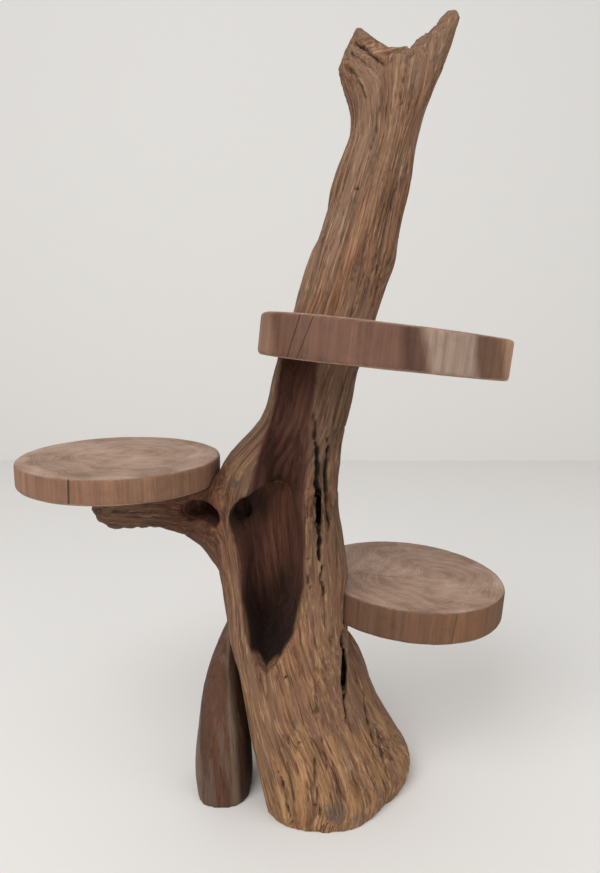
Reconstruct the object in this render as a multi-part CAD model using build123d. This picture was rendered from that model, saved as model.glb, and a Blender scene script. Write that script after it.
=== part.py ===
from build123d import *
import os
from collections import namedtuple
from math import cos, pi, sin

# A tiered display stand made from one eroded teak root. The root stands upright and leans to the
# right. It carries three thick sawn slices of wood at different heights, and a short sawn log is
# screwed to its lower left side as a second leg.
# Sizes are in millimetres. The origin is on the floor under the middle of the root's foot,
# +X to the viewer's right, +Y to the back, +Z up.

Ring = namedtuple("Ring", "height left right front back")
Rib = namedtuple("Rib", "across low high front back")

# The root, ring by ring from the floor to the saddle of its fork.
trunk_rings = [
    Ring(0, -61, 44, -67, 52),
    Ring(14, -65, 45, -66, 51),
    Ring(45, -72, 33, -58, 47),
    Ring(80, -78, 20, -51, 44),
    Ring(112, -84, 12, -47, 42),
    Ring(145, -92, 9, -44, 42),
    Ring(180, -96, 9, -42, 42),
    Ring(215, -100, 7, -42, 42),
    Ring(250, -99, 2, -40, 42),
    Ring(281, -91, 2, -38, 41),
    Ring(299, -77, 3, -37, 40),
    Ring(317, -61, 7, -36, 40),
    Ring(346, -52, 14, -34, 38),
    Ring(376, -43, 23, -32, 37),
    Ring(405, -33, 33, -30, 36),
    Ring(436, -25, 42, -29, 34),
    Ring(468, -12, 48, -27, 32),
    Ring(500, -4, 55, -25, 31),
    Ring(530, 7, 60, -24, 30),
    Ring(552, 10, 66, -23, 29),
    Ring(576, 3, 74, -21, 27),
    Ring(594, 14, 76, -13, 18),
]
# The second root, which swells out of the right of the trunk behind a deep split.
buttress_rings = [
    Ring(0, -5, 61, -38, 60),
    Ring(14, -5, 65, -36, 59),
    Ring(45, -8, 50, -27, 54),
    Ring(80, -12, 32, -20, 46),
    Ring(112, -18, 21, -14, 39),
    Ring(136, -26, 2, -6, 32),
]
# The two broken prongs of the fork.
left_prong_rings = [
    Ring(552, 16, 42, -16, 20),
    Ring(572, 7, 42, -17, 19),
    Ring(583, -1, 42, -15, 16),
    Ring(597, 4, 37, -13, 12),
    Ring(606, 9, 23, -8, 7),
    Ring(612, 12, 16, -3, 3),
]
right_prong_rings = [
    Ring(560, 40, 69, -16, 22),
    Ring(586, 46, 78, -14, 17),
    Ring(602, 56, 84, -11, 12),
    Ring(611, 69, 87, -8, 8),
    Ring(619, 76, 90, -6, 6),
    Ring(624, 81, 88, -3, 3),
]
# The side branch, rib by rib from its broken end into the trunk.
branch_ribs = [
    Rib(-201, 238, 274, -9, 18),
    Rib(-192, 228, 276, -12, 22),
    Rib(-165, 226, 276, -14, 24),
    Rib(-138, 225, 276, -16, 26),
    Rib(-116, 215, 277, -20, 28),
    Rib(-100, 196, 276, -26, 31),
    Rib(-80, 180, 270, -30, 33),
]
outline_points = 16
squareness = 0.86          # under 1 makes a ring fuller than an ellipse
lobe_share = 0.035         # how far a ring's lobes stand out, as a share of its radius

# The weathered hollow in the front: its rim, seen from the front, as (across, height) points.
hollow_rim = [
    (-85, 243), (-75, 258), (-60, 264), (-38, 263), (-29, 240), (-28, 190),
    (-37, 150), (-47, 134), (-57, 123), (-68, 138), (-75, 180), (-79, 222),
]
hollow_mouth = -75         # how far in front of the root the cut starts
hollow_back = 6            # the back wall
hollow_floor_rise = 13     # the back outline is this much higher at its low end
hollow_taper = 0.80        # the back outline against the rim
# The shallow gutter that runs from the hollow up to the top shelf.
gutter_rings = [
    Ring(236, -76, -30, -72, -8),
    Ring(290, -62, -25, -70, -14),
    Ring(340, -51, -20, -66, -11),
    Ring(368, -45, -17, -64, -4),
    Ring(384, -43, -16, -64, -2),
]
# The eye-shaped knot hole in the branch's root, which runs back into the hollow.
eye_outline = [(-126, 247), (-113, 254), (-98, 250), (-91, 241), (-94, 234), (-110, 238)]
eye_surface = -22          # the depth at which the outline is given
eye_reach = (-60, 16)      # from where to where it is cut
eye_slope = 0.7            # how far the knot hole runs to the right for each step back
# Splits: (across, low, high, width, lean) of each, cut from the front.
splits = [(-16.2, 211, 294, 4.4, -1.7), (5.2, 80, 148, 4.4, -0.5)]
split_floor = -14          # the depth that a split reaches
split_mouth = -80

# The three slices
shelf_edge_round = 3.0
shelf_clearance = 0.4      # between a slice's edge and the wood around it
shelf_head_gap = 0.5       # between a slice's top and the roof of its notch
top_notch_reach = 240.0    # wider and deeper than the root

left_shelf_radius = 82.0
left_shelf_thickness = 21.0
left_shelf_seat = (-179.0, 8.0, 265.5)
left_shelf_tilt = (2.8, 0.5, 0)

right_shelf_radius = 83.0
right_shelf_thickness = 28.0
right_shelf_seat = (66.0, 36.0, 147.5)
right_shelf_tilt = (2.3, 4.0, 0)

top_shelf_thickness = 31.5
top_shelf_seat = (0.0, 0.0, 362.8)
top_shelf_tilt = (0, 6.3, 0)
top_shelf_back = 10.0      # the straight back edge, which lies against the end of its saw cut
top_shelf_edge = [
    (-62, -14), (-61, -44), (-50, -74), (-20, -93), (20, -97), (66, -84), (104, -62),
    (129, -32), (124, -8),
]
top_shelf_back_ends = (-46, 96)

# The prop leg
leg_rings = [
    Ring(0, -117, -72, -39, 26),
    Ring(14, -119, -72, -38, 27),
    Ring(55, -117, -73, -34, 28),
    Ring(88, -112, -68, -28, 29),
    Ring(118, -103, -58, -18, 30),
    Ring(146, -90, -56, 0, 28),
]
leg_squareness = 0.72
leg_seat_point = (-73.0, 16.0, 112.0)    # on the flat where the leg lies against the root
leg_seat_turn = 24.0                     # degrees that the flat faces to the back
leg_seat_lean = 12.0                     # degrees that the flat leans over the leg
leg_seat_width = 56.0
leg_seat_height = 116.0

# Countersunk wood screws
screw_diameter = 4.0
screw_head_diameter = 8.0
screw_head_height = 3.2
screw_tip_length = 6.0
screw_tip_diameter = 0.8
screw_clearance = 0.08                   # between the shank and its hole, all round
head_clearance = 0.6                     # between the head and its counterbore, all round
recess_width = 1.2
recess_span = 4.4
recess_depth = 2.0
access_length = 60.0                     # how far a counterbore runs out past the head

left_screw_length = 32.0
left_screw_bite = 14.0
left_screw_places = [(-18.0, -2.0), (32.0, 0.0)]       # from the middle of the slice's underside
right_screw_length = 50.0
right_screw_bite = 20.0
right_screw_place = -10.0                # along the slice's edge, from its middle towards the front
right_screw_swing = 36.0                 # degrees that the screws come from behind
right_screw_spacing = 13.0               # between the two, one above the other
top_screw_length = 45.0
top_screw_bite = 24.0
top_screw_places = [-24.0, 8.0]
leg_screw_length = 40.0
leg_screw_bite = 21.0
leg_screw_heights = [-14.0, 14.0]
leg_screw_shift = -1.0                   # of the screws along the flat, minus to the back


def lobed(angle, height):
    """The swell of a ring at one angle, which drifts slowly round the root with height."""
    drift = height / 150
    return 1 + lobe_share * (cos(3 * angle + drift) + 0.6 * cos(5 * angle - 1.7 * drift))


def signed_power(value, power):
    return abs(value) ** power if value >= 0 else -abs(value) ** power


def ring_face(ring, fullness=squareness, lobes=True):
    """One level outline of a root, as a flat face at its height."""
    middle_x, middle_y = (ring.left + ring.right) / 2, (ring.front + ring.back) / 2
    half_x, half_y = (ring.right - ring.left) / 2, (ring.back - ring.front) / 2
    points = []
    for step in range(outline_points):
        angle = 2 * pi * step / outline_points
        swell = lobed(angle, ring.height) if lobes else 1
        x = middle_x + half_x * swell * signed_power(cos(angle), fullness)
        y = middle_y + half_y * swell * signed_power(sin(angle), fullness)
        points.append((x, y, ring.height))
    return make_face(Spline(*points, periodic=True))


def rib_face(rib):
    """One upright outline of the branch, as a flat face across it."""
    middle_y, middle_z = (rib.front + rib.back) / 2, (rib.low + rib.high) / 2
    half_y, half_z = (rib.back - rib.front) / 2, (rib.high - rib.low) / 2
    points = []
    for step in range(outline_points):
        angle = 2 * pi * step / outline_points
        swell = lobed(angle, rib.across)
        y = middle_y + half_y * swell * signed_power(cos(angle), squareness)
        z = middle_z + half_z * swell * signed_power(sin(angle), squareness)
        points.append((rib.across, y, z))
    return make_face(Spline(*points, periodic=True))


def lofted(rings, fullness=squareness, lobes=True, ruled=False):
    return loft([ring_face(ring, fullness, lobes) for ring in rings], ruled=ruled)


def slice_seat(seat, tilt):
    """The plane on which a slice's underside lies."""
    return Plane(Location(seat, tilt))


def slab_outline():
    """The top slab: a wavy natural edge all round, and a straight sawn edge at the back."""
    left, right = [(x, top_shelf_back) for x in top_shelf_back_ends]
    return make_face([Spline(left, *top_shelf_edge, right), Line(right, left)])


def slice_solid(outline, thickness, plane):
    blank = extrude(outline, thickness)
    rounded = fillet(blank.edges(), shelf_edge_round)
    return plane * rounded


def notch_for(outline, height, plane):
    """The saw cut that a slice slides into, open all round it by the clearance."""
    grown = offset(outline, shelf_clearance, kind=Kind.ARC)
    return plane * extrude(grown, height)


def slab_notch(plane):
    """The straight saw cut for the top slab, right across the front of the root."""
    height = top_shelf_thickness + shelf_head_gap
    block = Box(top_notch_reach, top_notch_reach, height, align=(Align.CENTER, Align.MAX, Align.MIN))
    return plane * Pos(0, top_shelf_back + shelf_clearance, 0) * block


def build_slices():
    left_plane = slice_seat(left_shelf_seat, left_shelf_tilt)
    right_plane = slice_seat(right_shelf_seat, right_shelf_tilt)
    top_plane = slice_seat(top_shelf_seat, top_shelf_tilt)
    left = slice_solid(Circle(left_shelf_radius), left_shelf_thickness, left_plane)
    right = slice_solid(Circle(right_shelf_radius), right_shelf_thickness, right_plane)
    top = slice_solid(slab_outline(), top_shelf_thickness, top_plane)
    return left, right, top


def leg_seat_plane():
    """The flat between the leg and the root. Its normal points out of the root."""
    facing = Location(leg_seat_point, (0, 0, 0)) * Rot(0, 0, 180 - leg_seat_turn)
    return Plane(facing * Rot(0, 90 + leg_seat_lean, 0))


def outside_of_leg_seat():
    """All that lies beyond the flat, as wide and high as the flat is cut."""
    reach = leg_seat_height
    block = Box(leg_seat_height, leg_seat_width, reach, align=(Align.CENTER, Align.CENTER, Align.MIN))
    return leg_seat_plane() * block


def build_hollow():
    """The weathered hollow: wide at its rim and narrower at its back wall."""
    middle_x = sum(x for x, _ in hollow_rim) / len(hollow_rim)
    middle_z = sum(z for _, z in hollow_rim) / len(hollow_rim)
    back = []
    for x, z in hollow_rim:
        back.append((
            middle_x + hollow_taper * (x - middle_x),
            hollow_back,
            middle_z + hollow_taper * (z - middle_z) + hollow_floor_rise,
        ))
    rim = [(x, hollow_mouth, z) for x, z in hollow_rim]
    waist = [(x, (hollow_back - 70) / 2, z) for x, z in hollow_rim]
    faces = [make_face(Spline(*points, periodic=True)) for points in (rim, waist, back)]
    return loft(faces)


def build_eye():
    """The knot hole, which slants back and to the right."""
    faces = []
    for depth in eye_reach:
        drift = eye_slope * (depth - eye_surface)
        points = [(x + drift, depth, z) for x, z in eye_outline]
        faces.append(make_face(Spline(*points, periodic=True)))
    return loft(faces)


def build_split(across, low, high, width, lean):
    """A long lens-shaped split, open to the front."""
    middle = (low + high) / 2
    top, bottom = (across + lean, split_mouth, high), (across - lean, split_mouth, low)
    right_side = ThreePointArc(top, (across + width / 2, split_mouth, middle), bottom)
    left_side = ThreePointArc(bottom, (across - width / 2, split_mouth, middle), top)
    return extrude(make_face([right_side, left_side]), split_floor - split_mouth, dir=(0, 1, 0))


def screw(length):
    """A countersunk screw along Z: its head's face at the origin, its tip at -length."""
    head, shank, tip = screw_head_diameter / 2, screw_diameter / 2, screw_tip_diameter / 2
    profile = Polyline(
        (0, 0), (head, 0), (shank, -screw_head_height), (shank, screw_tip_length - length),
        (tip, -length), (0, -length), close=True,
    )
    body = revolve(Plane.XZ * make_face(profile), Axis.Z)
    slot = Box(recess_span, recess_width, 2 * recess_depth)
    return body - slot - Rot(0, 0, 90) * slot


def screw_hole(length):
    """The hole for one screw: a shank hole, a countersink and a counterbore that runs outwards."""
    head = screw_head_diameter / 2 + head_clearance
    shank, tip = screw_diameter / 2 + screw_clearance, screw_tip_diameter / 2 + screw_clearance
    profile = Polyline(
        (0, access_length), (head, access_length), (head, 0), (shank, -screw_head_height),
        (shank, screw_tip_length - length), (tip, -length - screw_clearance),
        (0, -length - screw_clearance), close=True,
    )
    return revolve(Plane.XZ * make_face(profile), Axis.Z)


def left_screw_frames():
    """Head places of the screws that come up through the branch, heads downwards."""
    plane = slice_seat(left_shelf_seat, left_shelf_tilt)
    frames = []
    for x, y in left_screw_places:
        frames.append(plane.location * Pos(x, y, left_screw_bite - left_screw_length) * Rot(180, 0, 0))
    return frames


def right_screw_frames():
    """Head places of the screws that come from behind, through the root, into the right slice's edge."""
    plane = slice_seat(right_shelf_seat, right_shelf_tilt)
    frames = []
    for side in (-0.5, 0.5):
        height = right_shelf_thickness / 2 + side * right_screw_spacing
        edge = Pos(-right_shelf_radius, right_screw_place, height)
        inward = edge * Rot(0, 0, -right_screw_swing) * Rot(0, -90, 0)
        frames.append(plane.location * inward * Pos(0, 0, right_screw_length - right_screw_bite))
    return frames


def top_screw_frames():
    """Head places of the screws that go forward through the root's back into the top slice."""
    plane = slice_seat(top_shelf_seat, top_shelf_tilt)
    frames = []
    for x in top_screw_places:
        y = top_screw_length - top_screw_bite
        frames.append(plane.location * Pos(x, y, top_shelf_thickness / 2) * Rot(-90, 0, 0))
    return frames


def leg_screw_frames():
    """Head places of the screws that go through the leg's upper end into the root."""
    frames = []
    for height in leg_screw_heights:
        out = leg_screw_length - leg_screw_bite
        frames.append(leg_seat_plane().location * Pos(height, leg_screw_shift, out))
    return frames


def screws(frames, length):
    return [frame * screw(length) for frame in frames]


def screw_holes(frames, length):
    return [frame * screw_hole(length) for frame in frames]


def build_trunk(holes, leg_holes):
    """The root: its stem, second root, fork and branch, less all that is weathered or sawn away."""
    wood = lofted(trunk_rings) + [
        lofted(buttress_rings),
        lofted(left_prong_rings, ruled=True),
        lofted(right_prong_rings, ruled=True),
        loft([rib_face(rib) for rib in branch_ribs]),
    ]
    left_plane = slice_seat(left_shelf_seat, left_shelf_tilt)
    right_plane = slice_seat(right_shelf_seat, right_shelf_tilt)
    top_plane = slice_seat(top_shelf_seat, top_shelf_tilt)
    cuts = [
        notch_for(Circle(right_shelf_radius), right_shelf_thickness + shelf_head_gap, right_plane),
        slab_notch(top_plane),
        notch_for(Circle(left_shelf_radius), 3 * left_shelf_thickness, left_plane),
        outside_of_leg_seat() + leg_holes,
    ]
    weathering = [build_hollow(), lofted(gutter_rings, 1.0, False), build_eye()]
    weathering += [build_split(*split) for split in splits]
    for cut in cuts + holes + weathering:
        wood -= cut
    return wood


def build_leg():
    """The prop leg: a sawn log whose top is bevelled to lie flat against the root."""
    log = lofted(leg_rings, leg_squareness, False)
    beyond = Box(300, 300, 300, align=(Align.CENTER, Align.CENTER, Align.MAX))
    return log - leg_seat_plane() * beyond


def main():
    os.makedirs("parts", exist_ok=True)
    left_shelf, right_shelf, top_shelf = build_slices()
    left_frames, right_frames = left_screw_frames(), right_screw_frames()
    top_frames, leg_frames = top_screw_frames(), leg_screw_frames()
    left_holes = screw_holes(left_frames, left_screw_length)
    right_holes = screw_holes(right_frames, right_screw_length)
    top_holes = screw_holes(top_frames, top_screw_length)
    leg_holes = screw_holes(leg_frames, leg_screw_length)

    parts = {
        "trunk": [build_trunk(left_holes + right_holes + top_holes, leg_holes)],
        "prop_leg": [build_leg() - leg_holes],
        "left_shelf": [left_shelf - left_holes],
        "right_shelf": [right_shelf - right_holes],
        "top_shelf": [top_shelf - top_holes],
        "left_shelf_screws": screws(left_frames, left_screw_length),
        "right_shelf_screws": screws(right_frames, right_screw_length),
        "top_shelf_screws": screws(top_frames, top_screw_length),
        "leg_screws": screws(leg_frames, leg_screw_length),
    }
    for name, solids in parts.items():
        export_step(Compound(children=solids) if len(solids) > 1 else solids[0], f"parts/{name}.step")


main()
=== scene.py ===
import math
import bpy
from mathutils import Matrix, Vector, noise


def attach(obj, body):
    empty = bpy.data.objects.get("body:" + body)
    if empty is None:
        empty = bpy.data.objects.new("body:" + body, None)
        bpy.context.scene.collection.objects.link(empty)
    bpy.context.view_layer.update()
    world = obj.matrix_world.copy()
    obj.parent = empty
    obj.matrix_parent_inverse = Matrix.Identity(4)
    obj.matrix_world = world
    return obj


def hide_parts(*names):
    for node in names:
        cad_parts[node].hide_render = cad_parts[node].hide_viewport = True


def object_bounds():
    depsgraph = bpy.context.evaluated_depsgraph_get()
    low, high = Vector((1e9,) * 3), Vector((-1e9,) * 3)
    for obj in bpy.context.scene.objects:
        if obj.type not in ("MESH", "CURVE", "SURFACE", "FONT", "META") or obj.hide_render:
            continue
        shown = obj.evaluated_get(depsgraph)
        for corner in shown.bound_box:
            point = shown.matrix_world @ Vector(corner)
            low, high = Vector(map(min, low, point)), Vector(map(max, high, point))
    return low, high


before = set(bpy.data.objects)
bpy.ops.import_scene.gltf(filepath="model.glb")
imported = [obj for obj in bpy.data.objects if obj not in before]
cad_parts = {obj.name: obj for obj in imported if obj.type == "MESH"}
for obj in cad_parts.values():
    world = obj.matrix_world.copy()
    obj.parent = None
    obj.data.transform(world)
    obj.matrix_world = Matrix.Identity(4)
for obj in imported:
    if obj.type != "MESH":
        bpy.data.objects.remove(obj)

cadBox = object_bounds()
millimetre = 0.001
weldGap = 0.00002     # points closer than this, in metres, are one point
noiseMiddle = 0.5     # a noise node's values lie around this
bpy.context.scene.view_settings.view_transform = "Standard"


# small helpers

def clamp(value, low=0.0, high=1.0):
    return max(low, min(high, value))


def smoothStep(low, high, value):
    t = clamp((value - low) / (high - low))
    return t * t * (3 - 2 * t)


def window(rise, fall, value):
    # rises to 1 between the first two limits and falls back to 0 between the last two
    return smoothStep(*rise, value) * (1 - smoothStep(*fall, value))


def within(limits, value):
    return limits[0] < value < limits[1]


def dip(flanks, size, distance):
    # 1 in the middle of a dent of this size and 0 past its flanks, which are given in sizes
    return 1 - smoothStep(size * flanks[0], size * flanks[1], distance)


def ridged(point, sharpness=2.6):
    # sharp furrows with rounded backs between them, from 0 in a furrow to 1 on a back
    return min(1.0, abs(noise.noise(point)) * sharpness)


def waves(point, scale, height, shift=(0, 0, 0)):
    # soft waves without a direction
    return noise.noise(point * scale + Vector(shift)) * height


def furrows(point, across, along, middle, height, shift=(0, 0, 0)):
    # furrows that run along the third coordinate
    drawn = Vector((point.x * across, point.y * across, point.z * along)) + Vector(shift)
    return (ridged(drawn) - middle) * height


def frontWaves(x, z, across, up, place, height):
    # waves in the front view, the same at every depth
    return noise.noise(Vector((x * across, z * up, place))) * height


def between(stations, height):
    # straight-line value of a list of (height, value, value, ...) rows
    if height <= stations[0][0]:
        return stations[0][1:]
    for low, high in zip(stations, stations[1:]):
        if height <= high[0]:
            t = (height - low[0]) / (high[0] - low[0])
            return [a + t * (b - a) for a, b in zip(low[1:], high[1:])]
    return stations[-1][1:]


def remeshedCopy(nodeName, pieceName, shape):
    # a closed, evenly meshed copy of a wooden part, ready to be carved
    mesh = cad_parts[nodeName].data.copy()
    mesh.name = pieceName
    mesh.materials.clear()
    piece = bpy.data.objects.new(pieceName, mesh)
    bpy.context.scene.collection.objects.link(piece)
    weld = piece.modifiers.new("weld", "WELD")
    weld.merge_threshold = weldGap
    remesh = piece.modifiers.new("remesh", "REMESH")
    remesh.mode = "VOXEL"
    remesh.voxel_size = shape["voxel"]
    smooth = piece.modifiers.new("smooth", "SMOOTH")
    smooth.factor = 0.5
    smooth.iterations = shape["smoothing"]
    depsgraph = bpy.context.evaluated_depsgraph_get()
    done = bpy.data.meshes.new_from_object(piece.evaluated_get(depsgraph))
    piece.modifiers.clear()
    piece.data = done
    done.name = pieceName
    bpy.data.meshes.remove(mesh)
    for polygon in done.polygons:
        polygon.use_smooth = True
    return piece


def carve(piece, skin):
    # moves each point along its normal by what skin(point, normal) says, and stores its values
    mesh = piece.data
    places, grains, inners, reliefs = [], [], [], []
    for vertex in mesh.vertices:
        shift, grainPoint, innerValue, reliefValue = skin(vertex.co / millimetre, vertex.normal)
        moved = vertex.co + vertex.normal * shift * millimetre
        # no point leaves the box of the CAD model
        places.extend(clamp(value, low, high) for value, low, high in zip(moved, *cadBox))
        grains.extend(grainPoint * millimetre)
        inners.append(innerValue)
        reliefs.append(reliefValue)
    mesh.vertices.foreach_set("co", places)
    for name, kind, field, values in (
        ("grain", "FLOAT_VECTOR", "vector", grains),
        ("inner", "FLOAT", "value", inners),
        ("relief", "FLOAT", "value", reliefs),
    ):
        mesh.attributes.new(name, kind, "POINT").data.foreach_set(field, values)
    mesh.update()


# the root

# places and heights are in mm, and a noise's scale is per mm
rootShape = {
    "voxel": 0.00176,     # metres
    "smoothing": 2,
    # height, middle and half width across, middle and half width in depth
    "stations": [
        (0, -4, 62, -3, 62), (14, -2, 64, -3, 60), (45, -11, 61, -4, 52), (80, -23, 55, -4, 48),
        (112, -31, 53, -3, 45), (145, -41, 51, -1, 43), (180, -44, 52, 0, 42),
        (215, -46, 52, 0, 42), (250, -48, 50, 1, 41), (281, -44, 47, 1, 40), (317, -27, 34, 2, 38),
        (346, -19, 33, 2, 36), (405, 0, 33, 3, 33), (468, 18, 30, 3, 30), (530, 34, 27, 3, 27),
        (576, 40, 34, 3, 23), (624, 48, 36, 2, 12),
    ],
    # the stem's fibres are drawn for one half width all the way up
    "stemHalfWidth": 45,
    # where the fibres turn from the stem into the branch, counted to the left and up
    "branchAcross": (84, 122), "branchHeight": (174, 202),
    "branchMiddle": 252, "branchTall": 1.6, "branchDeep": 1.4, "branchFar": 300,
    # scale and reach of the fibres' wander
    "drift": ((0.010, 7), (0.03, 0.8)),
    # the left prong is the stump of a branch, so its fibres lean to the left
    "leanHeight": (548, 606), "leanAcross": (12, 42), "lean": 0.9,
    # scale, height and shift of the broad waves
    "broad": (0.028, 1.6, (3, 7, 1)),
    # scale across and along, middle, height and shift of the furrows and the fibres
    "furrow": (0.11, 0.0085, 0.6, 1.2), "fibre": (0.30, 0.016, 0.5, 0.55, (9, 2, 4)),
    # the skin is rough in patches, and roughest where the hollow's right lip is in strands
    "patch": (0.016, 1, (1, 5, 9)), "patchLimits": (-0.25, 0.35),
    "leastRough": 0.30, "patchRough": 0.95, "strandRough": 0.9,
    "strandHeight": ((168, 200), (332, 352)), "strandAcross": (-32, -20),
    # how much calmer the walls of the hollow are
    "hollowCalm": 0.78, "hollowFlat": 0.5,
    # the branch ends in a rough break
    "breakAcross": (136, 156), "breakScale": 0.11, "breakShift": (2, 6, 3), "breakDepth": 1.7,
    # cracks lie on what looks to the front and is outside the hollow
    "crackFacing": -0.05, "crackInner": 0.6,
    # how much the furrows and the cracks darken the colours, as painted shade
    "furrowShadeShare": 0.5, "crackShadeShare": 0.7,
    # the sawn foot stays flat
    "footKeep": (0.5, 3.0),
}
# cracks seen from the front: points (across, height), half width and depth
frontCracks = [
    ([(-18, 296), (-16.5, 267), (-14.8, 240), (-14.7, 211)], 1.9, 4.5),
    ([(4.8, 152), (5, 130), (5.6, 110), (5.8, 92), (5.6, 76)], 1.0, 3.2),
    ([(-14, 206), (-12.8, 190), (-12.3, 183), (-10.6, 161)], 1.2, 3.4),
    ([(-24, 212), (-23.1, 200), (-22.3, 188)], 0.9, 2.4),
    ([(-10, 306), (-9.4, 285), (-8.2, 262), (-7, 232)], 1.1, 3.2),
    ([(-21, 330), (-19, 310), (-17.6, 297)], 1.0, 2.6),
    ([(22, 92), (25, 78), (27, 66), (31, 46)], 0.9, 1.8),
    ([(33, 62), (38, 42), (44, 16)], 0.7, 1.2),
    ([(-47, 44), (-41, 24), (-36, 5)], 1.1, 2.4),
    ([(-20, 62), (-17, 36), (-16, 8)], 0.9, 1.8),
    ([(22, 464), (14, 440), (8, 416)], 0.6, 1.0),
    ([(36, 446), (30, 425), (27, 404)], 0.6, 1.0),
    ([(46, 514), (41, 490), (37, 470)], 0.6, 1.0),
    ([(28, 552), (24, 530), (20, 512)], 0.6, 1.1),
    ([(11, 598), (21, 589.5), (34, 577)], 1.1, 2.4),
    ([(6, 592), (14, 585), (27, 573)], 0.8, 1.7),
    ([(4, 583), (12, 572), (19, 556)], 0.8, 1.6),
    ([(52, 600), (46, 574), (42, 548)], 0.8, 1.6),
]
# worm holes: across, height, radius and depth
wormHoles = [
    (-41.9, 117.5, 1.1, 3.0), (28, 599, 1.4, 3.0), (12, 492, 1.1, 2.0), (-31, 66, 1.0, 2.0),
]
# scale across and up, place and reach of the waves that make the cracks wander and ragged,
# the reach past their ends, their taper, and their flanks in half widths
crackShape = {
    "wander": (0.05, 0.09, 4.0, 2.2), "ragged": (0.1, 0.16, 8.0, 0.7), "margin": 6,
    "endWidth": 0.3, "ends": (0.03, 0.97), "flanks": (0.2, 1.9), "holeFlanks": (0.6, 1.5),
}


def segmentDistance(x, z, a, b):
    # distance from a line's nearest point, and that point's share of the way along it
    dx, dz = b[0] - a[0], b[1] - a[1]
    t = clamp(((x - a[0]) * dx + (z - a[1]) * dz) / (dx * dx + dz * dz))
    return math.hypot(x - a[0] - t * dx, z - a[1] - t * dz), t


def crackDepth(x, z):
    # depth of the cracks and the worm holes at a place in the front view
    depth = 0.0
    x += frontWaves(x, z, *crackShape["wander"])
    ragged = 1 + frontWaves(x, z, *crackShape["ragged"])
    endWidth = crackShape["endWidth"]
    for points, halfWidth, deepest in frontCracks:
        low = min(p[1] for p in points) - crackShape["margin"]
        high = max(p[1] for p in points) + crackShape["margin"]
        if not low < z < high:
            continue
        for index, (a, b) in enumerate(zip(points, points[1:])):
            near, t = segmentDistance(x, z, a, b)
            along = clamp((index + t) / (len(points) - 1), *crackShape["ends"])
            width = halfWidth * ragged * (endWidth + (1 - endWidth) * math.sin(math.pi * along))
            depth = max(depth, deepest * ragged * dip(crackShape["flanks"], width, near))
    for holeX, holeZ, radius, deepest in wormHoles:
        near = math.hypot(x - holeX, z - holeZ)
        depth = max(depth, deepest * dip(crackShape["holeFlanks"], radius, near))
    return depth


# where each slice's underside lies, and how it tips about X and then Y, in mm and degrees
slices = {
    "left_shelf": {"name": "leftSlice", "seat": (-179.0, 8.0, 265.5), "tilt": (2.8, 0.5),
                   "thickness": 21.0, "radius": 82.0},
    "right_shelf": {"name": "rightSlice", "seat": (66.0, 36.0, 147.5), "tilt": (2.3, 4.0),
                    "thickness": 28.0, "radius": 83.0},
    "top_shelf": {"name": "topSlab", "seat": (0.0, 0.0, 362.8), "tilt": (0.0, 6.3),
                  "thickness": 31.5, "radius": 90.0},
}
for item in slices.values():
    tipX, tipY = (math.radians(angle) for angle in item["tilt"])
    turn = Matrix.Rotation(tipX, 4, "X") @ Matrix.Rotation(tipY, 4, "Y")
    item["inverse"] = (Matrix.Translation(Vector(item["seat"])) @ turn).inverted()
# the saw cuts stay true this far past a slice's edge, and the skin comes back away from them
sawCut = {"reach": 45, "fade": (1.0, 5.0)}


def nearSlice(point):
    # 0 close to a slice's faces and 1 away from them
    keep = 1.0
    for item in slices.values():
        local = item["inverse"] @ point
        past = math.hypot(local.x, local.y) - item["radius"] - sawCut["reach"]
        outside = max(-local.z, local.z - item["thickness"], past)
        keep = min(keep, smoothStep(*sawCut["fade"], outside))
    return keep


# what is weathered away, as the part's source cuts it: outlines in the front view, limits, and
# the distances over which each counts less and less as its own wall
hollow = {
    "back": 18, "across": (-96, -16), "height": (108, 280), "fade": (0.4, 2.2),
    "outline": [
        (-85, 243), (-75, 258), (-60, 264), (-38, 263), (-29, 240), (-28, 190),
        (-37, 150), (-47, 134), (-57, 123), (-68, 138), (-75, 180), (-79, 222),
    ],
}
gutter = {
    "back": 2, "height": (240, 372), "fade": (1.04, 1.16),
    # height, left, right, front and back
    "rows": [
        (236, -76, -30, -72, -8), (290, -62, -25, -70, -14), (340, -51, -20, -66, -11),
        (368, -45, -17, -64, -4), (384, -43, -16, -64, -2),
    ],
}
knotHole = {
    "back": 20, "right": -70, "height": (228, 260), "fade": (0.4, 2.4), "wider": 0.4,
    # from this depth on it runs to the right by this slope
    "slope": 0.7, "surface": -22,
    "outline": [(-126, 247), (-113, 254), (-98, 250), (-91, 241), (-94, 234), (-110, 238)],
}
# the shallow scoop in which the knot hole runs out to the left
knotScoop = {
    "across": -116, "height": 245.5, "stretch": 1.3, "fade": (5.5, 9.0), "depth": 8.0,
    "back": -4, "right": -100,
}
# the floor that melts the step between the hollow and the gutter, and where it does so
meltFloor = {
    "depth": 5, "height": 258, "slope": 0.38, "leastInner": 0.5,
    "across": ((-60, -50), (-33, -27)), "front": (-30, -18), "rise": ((250, 262), (296, 312)),
}


def insideOutline(x, z, outline):
    # distance from a closed outline, below 0 on its inside
    nearest, inside = math.inf, False
    for (ax, az), (bx, bz) in zip(outline, outline[1:] + outline[:1]):
        nearest = min(nearest, segmentDistance(x, z, (ax, az), (bx, bz))[0])
        if (az > z) != (bz > z) and x < ax + (z - az) / (bz - az) * (bx - ax):
            inside = not inside
    return -nearest if inside else nearest


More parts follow.
